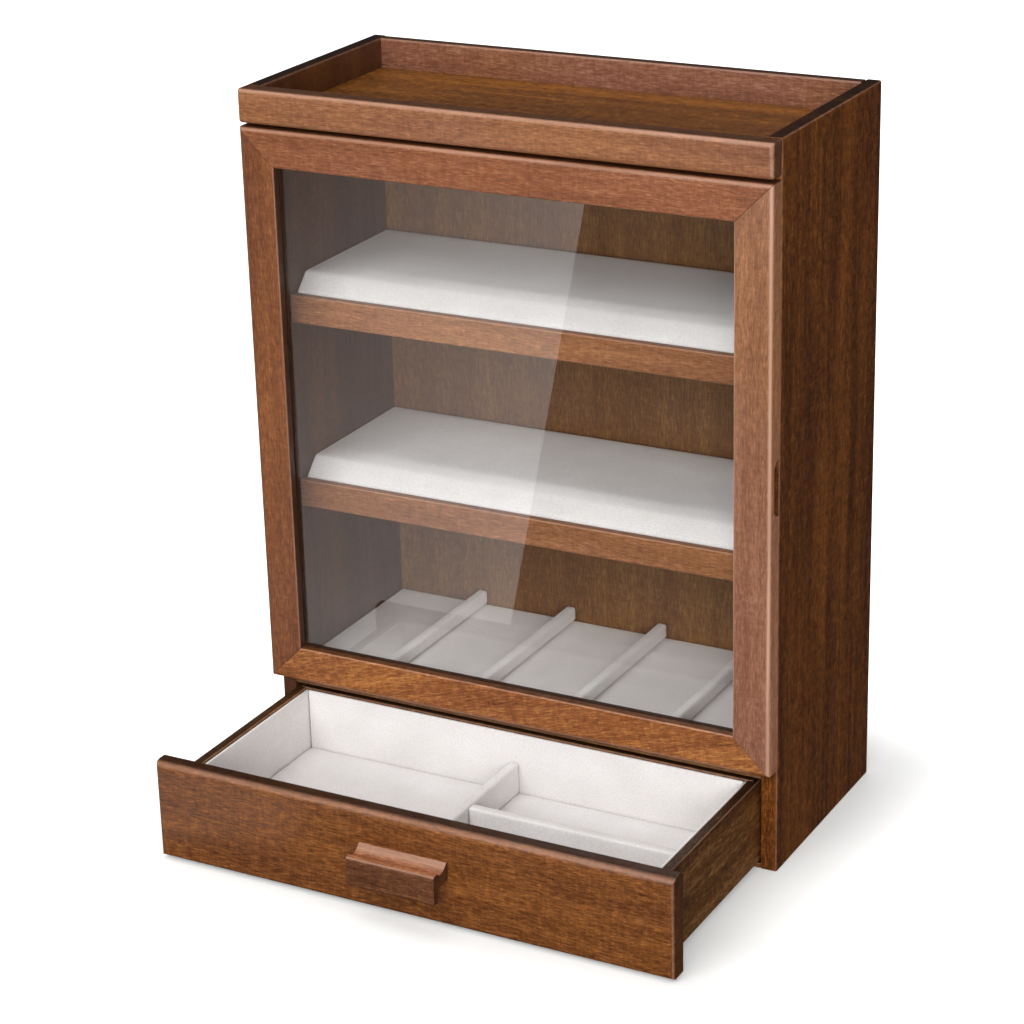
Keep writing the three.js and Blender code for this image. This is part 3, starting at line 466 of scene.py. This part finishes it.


# Cloth glued over card: turned round every edge, and never quite flat
# The case's cloth is painted paler and the drawer's a little darker than the shelf pads': lit and shaded
# copies of one cloth, painted light and shade.
cardCloth = {"pitch": 3.5, "segments": 3, "apart": (3.1, 1.7, 0), "pale": {"case": 1.12, "drawer": 0.97},
             "waves": ((17, 0.7), (6, 0.3))}  # each wave's length in mm and share of the swell
cardLooks = {
    "drawer_liner_left": {"body": "drawer", "edge": 0.6, "swell": 0.1, "seed": 1},
    "drawer_liner_right": {"body": "drawer", "edge": 0.6, "swell": 0.1, "seed": 2},
    "drawer_liner_front": {"body": "drawer", "edge": 0.6, "swell": 0.1, "seed": 3},
    "drawer_liner_back": {"body": "drawer", "edge": 0.6, "swell": 0.1, "seed": 4},
    "drawer_floor_pad": {"body": "drawer", "edge": 0.8, "swell": 0.12, "seed": 5, "fill": 0.9},
    "drawer_long_divider": {"body": "drawer", "edge": 1.3, "swell": 0.12, "seed": 6},
    "drawer_cross_divider": {"body": "drawer", "edge": 1.3, "swell": 0.12, "seed": 7},
    "display_floor_pad": {"body": "case", "edge": 1.2, "swell": 0.12, "seed": 8, "fill": 0.9},
    "slot_divider_1": {"body": "case", "edge": 1.6, "swell": 0.12, "seed": 9},
    "slot_divider_2": {"body": "case", "edge": 1.6, "swell": 0.12, "seed": 10},
    "slot_divider_3": {"body": "case", "edge": 1.6, "swell": 0.12, "seed": 11},
    "slot_divider_4": {"body": "case", "edge": 1.6, "swell": 0.12, "seed": 12},
}


def coverCard(name, look):
    low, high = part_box(name)
    shape = boxShape(low, high, cardCloth["pitch"] * mm)
    roundOff(shape, look["edge"] * mm, cardCloth["segments"])
    start = Vector([look["seed"] * step for step in cardCloth["apart"]])
    shape.normal_update()
    for vert in shape.verts:
        wave = sum(noise.noise(vert.co / (long * mm) + start) * share for long, share in cardCloth["waves"])
        vert.co -= vert.normal * (0.5 + 0.5 * wave) * look["swell"] * mm
    cloth = makeLining(name + "_cloth", look["seed"], cardCloth["pale"][look["body"]])
    card = addPiece(shape, name + "_cover", look["body"], cloth, name)


for name, look in cardLooks.items():
    coverCard(name, look)
print("cards and dividers covered")


# Shelf pads: a foam block under glued cloth, wedged between the sides. It swells a little against its
# cover, most between the ends, and stays flat underneath.
padLook = {"shrink": 0.9, "inset": 0.4, "clear": 0.1, "chamfer": 10.0, "rounding": 1.6, "rim": 0.8,
           "pitch": 3.6, "proud": 0.8, "fill": 0.75, "rise": 110.0, "roundingSegments": 3, "rimSegments": 2,
           "lowerSeed": 21, "upperSeed": 22}
swellLook = {"glued": 2.0, "pressure": 3.0, "stretch": 25, "bend": 2, "quality": 6, "frames": 20,
             "mostMove": 1.8}


def foamBlock(name):
    low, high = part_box(name)
    clear, inset, chamfer, pitch = (padLook[key] * mm for key in ("clear", "inset", "chamfer", "pitch"))
    front, back, top = low.y + inset, high.y - inset, high.z - padLook["shrink"] * mm
    long = high.x - low.x - 2 * clear
    shape = bmesh.new()
    outline = ((front, low.z), (front, top - chamfer), (front + chamfer, top), (back, top), (back, low.z))
    end = shape.faces.new([shape.verts.new((low.x + clear, y, z)) for y, z in outline])
    bmesh.ops.bevel(shape, geom=end.verts[:], offset=padLook["rounding"] * mm,
                    segments=padLook["roundingSegments"], profile=0.5, affect="VERTICES", material=-1)
    for edge in shape.edges[:]:
        cuts = int(edge.calc_length() / pitch)
        if cuts:
            bmesh.ops.subdivide_edges(shape, edges=[edge], cuts=cuts)
    other = bmesh.ops.extrude_face_region(shape, geom=shape.faces[:])
    bmesh.ops.translate(shape, vec=(long, 0, 0),
                        verts=[g for g in other["geom"] if isinstance(g, bmesh.types.BMVert)])
    runners = [e for e in shape.edges if abs(e.verts[0].co.x - e.verts[1].co.x) > long / 2]
    bmesh.ops.subdivide_edges(shape, edges=runners, cuts=int(long / pitch))
    roundOff(shape, padLook["rim"] * mm, padLook["rimSegments"])
    bmesh.ops.recalc_face_normals(shape, faces=shape.faces)
    return shape


def swellPad(pad, low, high):
    scene = bpy.context.scene
    rest = [v.co.copy() for v in pad.data.vertices]
    held = pad.vertex_groups.new(name="held")
    glued = swellLook["glued"] * mm  # along the shelf, and where the walls press on the ends
    held.add([i for i, co in enumerate(rest) if co.z < low.z + glued
              or not low.x + glued < co.x < high.x - glued], 1.0, "REPLACE")
    cloth = pad.modifiers.new("cloth", "CLOTH")
    cloth.settings.vertex_group_mass = "held"
    cloth.settings.use_pressure = True
    cloth.settings.uniform_pressure_force = swellLook["pressure"]
    cloth.settings.effector_weights.gravity = 0
    cloth.settings.tension_stiffness = cloth.settings.compression_stiffness = swellLook["stretch"]
    cloth.settings.bending_stiffness = swellLook["bend"]
    cloth.settings.quality = swellLook["quality"]
    cloth.point_cache.frame_start, cloth.point_cache.frame_end = 1, swellLook["frames"]
    for step in range(1, swellLook["frames"] + 1):
        scene.frame_set(step)
    swollen = pad.evaluated_get(bpy.context.evaluated_depsgraph_get()).to_mesh()
    moves = [v.co - rest[i] for i, v in enumerate(swollen.vertices)]
    pad.modifiers.remove(cloth)
    pad.vertex_groups.clear()
    scene.frame_set(1)
    most = swellLook["mostMove"] * mm
    for vert, move in zip(pad.data.vertices, moves):
        vert.co += move * min(1, most / max(move.length, 1e-9))
    print("pad swelled by up to", round(max(m.length for m in moves) * 1000, 2), "mm")


def shelfPads():
    name = "lower_shelf_pad"
    low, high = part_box(name)
    pad = addPiece(foamBlock(name), name + "_cover", "case",
                   makeLining("lowerPadCloth", padLook["lowerSeed"]), name)
    swellPad(pad, low, high)
    clear = Vector((1, 1, 1)) * padLook["clear"] * mm
    least, most = low + clear, high - clear
    most.z = high.z + padLook["proud"] * mm
    for vert in pad.data.vertices:  # the walls, the lip and the shelf hold it
        vert.co = [min(max(vert.co[axis], least[axis]), most[axis]) for axis in range(3)]

    shape = bmesh.new()
    shape.from_mesh(pad.data)
    bmesh.ops.translate(shape, vec=(0, 0, padLook["rise"] * mm), verts=shape.verts)
    upper = addPiece(shape, "upper_shelf_pad_cover", "case",
                     makeLining("upperPadCloth", padLook["upperSeed"]), "upper_shelf_pad")
    for thing in (pad, upper):
        finer = thing.modifiers.new("finer", "SUBSURF")
        finer.levels = finer.render_levels = 1


shelfPads()
print("shelf pads swelled")


# Slotted countersunk screws in the hinges
screwLook = {"slotWide": 0.55, "slotDeep": 0.5, "flat": 1.953, "head": 2.1, "rim": 0.06, "neck": 1.1,
             "headDeep": 0.9, "taper": 2.0, "point": 0.15, "weld": 0.01, "cut": 0.001}
screwSteps = 32
mostTurn = 3  # radians
headOn = 0.9  # of a normal's length, on faces that look out of the head


def hingeScrew(name, body, seed):
    low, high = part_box(name)
    facesFront = "case" in name  # its head looks out of the case's front edge
    look = {key: value * mm for key, value in screwLook.items()}
    length = high.y - low.y
    shape = bmesh.new()
    profile = [(0, 0), (look["flat"], 0), (look["head"], look["rim"]), (look["neck"], look["headDeep"]),
               (look["neck"], length - look["taper"]), (look["point"], length)]
    verts = [shape.verts.new((radius, depth, 0)) for radius, depth in profile]
    edges = [shape.edges.new(pair) for pair in zip(verts, verts[1:])]
    bmesh.ops.spin(shape, geom=verts + edges, cent=(0, 0, 0), axis=(0, 1, 0), angle=math.tau,
                   steps=screwSteps, use_merge=True)
    bmesh.ops.remove_doubles(shape, verts=shape.verts, dist=look["weld"])
    bmesh.ops.holes_fill(shape, edges=[e for e in shape.edges if e.is_boundary])
    bmesh.ops.recalc_face_normals(shape, faces=shape.faces)
    for way in (-1, 1):
        bmesh.ops.bisect_plane(shape, geom=shape.verts[:] + shape.edges[:] + shape.faces[:],
                               dist=look["cut"], plane_co=(0, 0, way * look["slotWide"] / 2),
                               plane_no=(0, 0, 1))
    strip = [f for f in shape.faces
             if f.normal.y < -headOn and abs(f.calc_center_median().z) < look["slotWide"] / 2]
    deeper = bmesh.ops.extrude_face_region(shape, geom=strip)
    bmesh.ops.translate(shape, vec=(0, look["slotDeep"], 0),
                        verts=[g for g in deeper["geom"] if isinstance(g, bmesh.types.BMVert)])
    bmesh.ops.delete(shape, geom=strip, context="FACES_ONLY")
    stopped = random.Random(seed).uniform(0, mostTurn)  # each slot stopped at its own angle
    bmesh.ops.rotate(shape, cent=(0, 0, 0), matrix=Matrix.Rotation(stopped, 3, "Y"), verts=shape.verts)
    if not facesFront:
        bmesh.ops.rotate(shape, cent=(0, 0, 0), matrix=Matrix.Rotation(math.pi, 3, "Z"), verts=shape.verts)
    head = Vector(((low.x + high.x) / 2, low.y if facesFront else high.y, (low.z + high.z) / 2))
    bmesh.ops.translate(shape, vec=head, verts=shape.verts)
    screw = addPiece(shape, name + "_slotted", body, brass, name)
    shading = screw.modifiers.new("shading", "NODES")
    shading.node_group = softShading


for index, name in enumerate(sorted(n for n in nodes if "hinge" in n and "screw" in n)):
    hingeScrew(name, "case" if "case" in name else "door", index)
print("hinge screws slotted")


# Floor: pale studio paper that the picture sees as white, with the object's soft shadow kept. What the
# lacquer and the pane mirror is dim, apart from three pale cards. All in metres.
floorLook = {"paper": "eeeeec", "bounce": "9a9a98", "half": 9.0, "near": 0.0, "far": 0.13, "lift": 0.17,
             "under": (0, -0.067), "underHalf": (0.156, 0.14), "height": -0.0003, "roughness": 0.9}
cardHeight = 0.001
fadeDeep = 0.32  # from a card's bright edge to its even part
mirrored = 0.035  # the studio's brightness in gloss, where white is 1
white = (1, 1, 1, 1)
cards = {  # lying on the floor, seen only in gloss; the first one's long edge shows as the pane's veil
    "veilCard": {"place": (-0.8609, -0.7165), "size": (1.49, 1.0), "turn": 66, "glow": 1.15, "fade": 0.3},
    "edgeCard": {"place": (1.05, -0.55), "size": (1.1, 1.2), "turn": 0, "glow": 0.9},
    "sheenCard": {"place": (-0.5, -1.85), "size": (0.9, 1.0), "turn": 0, "glow": 1.6},
}


def layFlat(name, half, place, turn, height):
    shape = bmesh.new()
    bmesh.ops.create_grid(shape, x_segments=1, y_segments=1, size=1)
    bmesh.ops.scale(shape, vec=(half[0], half[1], 1), verts=shape.verts)
    bmesh.ops.rotate(shape, cent=(0, 0, 0), matrix=Matrix.Rotation(math.radians(turn), 3, "Z"),
                     verts=shape.verts)
    bmesh.ops.translate(shape, vec=(place[0], place[1], height), verts=shape.verts)
    thing = addMesh(name, shape)
    return thing


def sortRays(tree):
    # What the camera sees straight or through the pane is the white studio
    rays = addNode(tree, "LightPath")
    seen = addNode(tree, "Math", {0: rays.outputs["Is Camera Ray"], 1: rays.outputs["Is Transmission Ray"]},
                   operation="MAXIMUM")
    # A ray straight through the pane counts as glossy too, but not as a glossy bounce
    inGloss = addNode(tree, "Math", {0: rays.outputs["Glossy Depth"], 1: 0.5}, operation="GREATER_THAN")
    return seen.outputs[0], inGloss.outputs[0]


def makeFloor():
    floor = layFlat("floor", (floorLook["half"], floorLook["half"]), (0, 0), 0, floorLook["height"])
    material, tree, shader = newMaterial("studioPaper")
    shader.inputs["Roughness"].default_value = floorLook["roughness"]
    shader.inputs["Specular IOR Level"].default_value = 0.0
    where = addNode(tree, "TexCoord")
    # Distance from the ground that the case and its open drawer cover
    place = addNode(tree, "VectorMath", {0: where.outputs["Object"], 1: (*floorLook["under"], 0)},
                    operation="SUBTRACT")
    place = addNode(tree, "VectorMath", {0: place.outputs[0]}, operation="ABSOLUTE")
    place = addNode(tree, "VectorMath", {0: place.outputs[0], 1: (*floorLook["underHalf"], 0)},
                    operation="SUBTRACT")
    place = addNode(tree, "VectorMath", {0: place.outputs[0], 1: (0, 0, 0)}, operation="MAXIMUM")
    reach = addNode(tree, "VectorMath", {0: place.outputs[0]}, operation="LENGTH")
    far = addNode(tree, "MapRange", {0: reach.outputs["Value"], 1: floorLook["near"], 2: floorLook["far"],
                                     3: floorLook["lift"], 4: 1.0}, interpolation_type="SMOOTHSTEP")
    seen, inGloss = sortRays(tree)
    paper = addNode(tree, "Mix", {0: seen, 6: linear(floorLook["bounce"]), 7: linear(floorLook["paper"])},
                    data_type="RGBA")
    tree.links.new(paper.outputs[2], shader.inputs["Base Color"])
    bright = addNode(tree, "Math", {0: seen, 1: far.outputs[0]}, operation="MULTIPLY")
    glow = addNode(tree, "Emission", {"Color": white, "Strength": bright.outputs[0]})
    lit = addNode(tree, "AddShader", {0: shader.outputs[0], 1: glow.outputs[0]})
    dim = addNode(tree, "Emission", {"Color": white, "Strength": mirrored})
    mixed = addNode(tree, "MixShader", {0: inGloss, 1: lit.outputs[0], 2: dim.outputs[0]})
    setSurface(tree, mixed.outputs[0])
    floor.data.materials.append(material)


def makeCard(name, look):
    card = layFlat(name, (look["size"][0] / 2, look["size"][1] / 2), look["place"], look["turn"], cardHeight)
    card.visible_camera = card.visible_diffuse = card.visible_shadow = card.visible_transmission = False
    material, tree, shader = newMaterial(name)
    shader.inputs["Base Color"].default_value = (0, 0, 0, 1)
    shader.inputs["Specular IOR Level"].default_value = 0
    shader.inputs["Emission Color"].default_value = white
    shader.inputs["Emission Strength"].default_value = look["glow"]
    if "fade" in look:  # brightest along the long edge nearest to the case
        where = addNode(tree, "TexCoord")
        inward = Matrix.Rotation(math.radians(look["turn"]), 3, "Z") @ Vector((0, 1, 0))
        place = addNode(tree, "VectorMath", {0: where.outputs["Object"], 1: (*look["place"], 0)},
                        operation="SUBTRACT")
        depth = addNode(tree, "VectorMath", {0: place.outputs[0], 1: inward}, operation="DOT_PRODUCT")
        edge = -look["size"][1] / 2
        glow = addNode(tree, "MapRange", enumerate((depth.outputs["Value"], edge, edge + fadeDeep,
                                                    look["glow"], look["glow"] * look["fade"])))
        tree.links.new(glow.outputs[0], shader.inputs["Emission Strength"])
    card.data.materials.append(material)


# Lamps: metres and watts; each looks at the middle of the case
caseMiddle = Vector((0, -0.03, 0.2))
lamps = {
    "key": {"place": (-0.25, -1.75, 1.5), "size": (1.4, 1.0), "power": 25},
    "front": {"place": (1.0, -2.1, 0.7), "size": (0.9, 0.7), "power": 29},
    "overhead": {"place": (-0.2, -0.1, 1.9), "size": (1.6, 1.2), "power": 9},
    "rightStrip": {"place": (1.15, -0.6, 1.2), "size": (0.35, 1.2), "power": 3},
    "leftStrip": {"place": (-1.4, -0.2, 0.9), "size": (0.5, 1.2), "power": 5, "gloss": False},
    "behind": {"place": (-0.3, 1.8, 1.0), "size": (1.4, 1.0), "power": 8, "gloss": False},
}
worldFill = 0.3  # the studio's brightness as light


def makeLamp(name, look):
    data = bpy.data.lights.new(name, "AREA")
    data.shape = "RECTANGLE"
    data.size, data.size_y = look["size"]
    data.energy = look["power"]
    lamp = bpy.data.objects.new(name, data)
    bpy.context.scene.collection.objects.link(lamp)
    lamp.visible_glossy = look.get("gloss", True)
    lamp.location = look["place"]
    lamp.rotation_euler = (caseMiddle - Vector(look["place"])).to_track_quat("-Z", "Y").to_euler()


def makeWorld():
    world = bpy.data.worlds.new("studio")
    bpy.context.scene.world = world
    world.use_nodes = True
    tree = world.node_tree
    seen, inGloss = sortRays(tree)
    straight = addNode(tree, "MapRange", {0: seen, 3: worldFill, 4: 1.0})
    strength = addNode(tree, "MapRange", {0: inGloss, 3: straight.outputs[0], 4: mirrored})
    background = tree.nodes["Background"]
    background.inputs["Color"].default_value = white
    tree.links.new(strength.outputs[0], background.inputs["Strength"])


cameraLook = {"place": (0.69597, -1.33657, 0.75741), "turn": (68.464, 1.464, 28.065), "lens": 101.27,
              "sensor": 36}


def makeCamera():
    data = bpy.data.cameras.new("camera")
    data.lens = cameraLook["lens"]
    data.sensor_width = cameraLook["sensor"]
    camera = bpy.data.objects.new("camera", data)
    bpy.context.scene.collection.objects.link(camera)
    camera.location = cameraLook["place"]
    camera.rotation_euler = [math.radians(turn) for turn in cameraLook["turn"]]
    bpy.context.scene.camera = camera


makeFloor()
for name, look in cards.items():
    makeCard(name, look)
makeWorld()
for name, look in lamps.items():
    makeLamp(name, look)
makeCamera()
bpy.context.scene.view_settings.view_transform = "Standard"
print("studio set")
